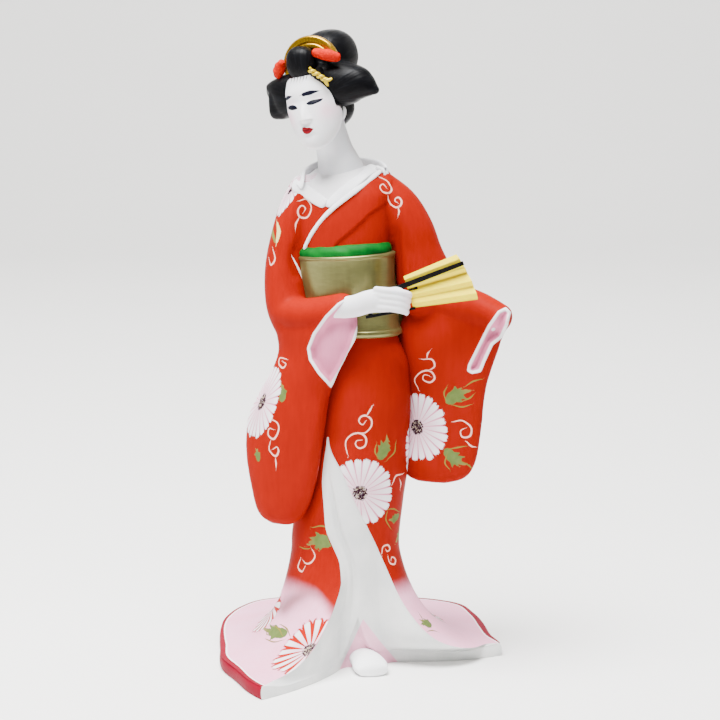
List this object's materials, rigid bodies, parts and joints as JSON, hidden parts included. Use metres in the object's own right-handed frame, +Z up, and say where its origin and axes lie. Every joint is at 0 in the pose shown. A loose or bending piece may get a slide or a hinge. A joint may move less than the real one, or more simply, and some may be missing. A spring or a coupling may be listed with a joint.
{
  "type": "hakata doll",
  "caption": "Painted clay doll of a standing lady in a trailing vermilion robe with a gold sash, holding a half-open folding fan across her front",
  "frame": {"origin": "on the ground plane under the figure, on her standing axis, on the flat underside of the hem", "axes": "+Z up along the standing figure, -Y the way her face and chest look, +X to her left hand"},
  "size_m": [0.1757, 0.2048, 0.3175],
  "materials": {
    "painted_clay": "matte painted unglazed clay",
    "gold_paper": "pale gold paper with black sticks"
  },
  "bodies": {
    "root": {"figure": "painted_clay", "fan": "gold_paper"}
  },
  "joints": []
}
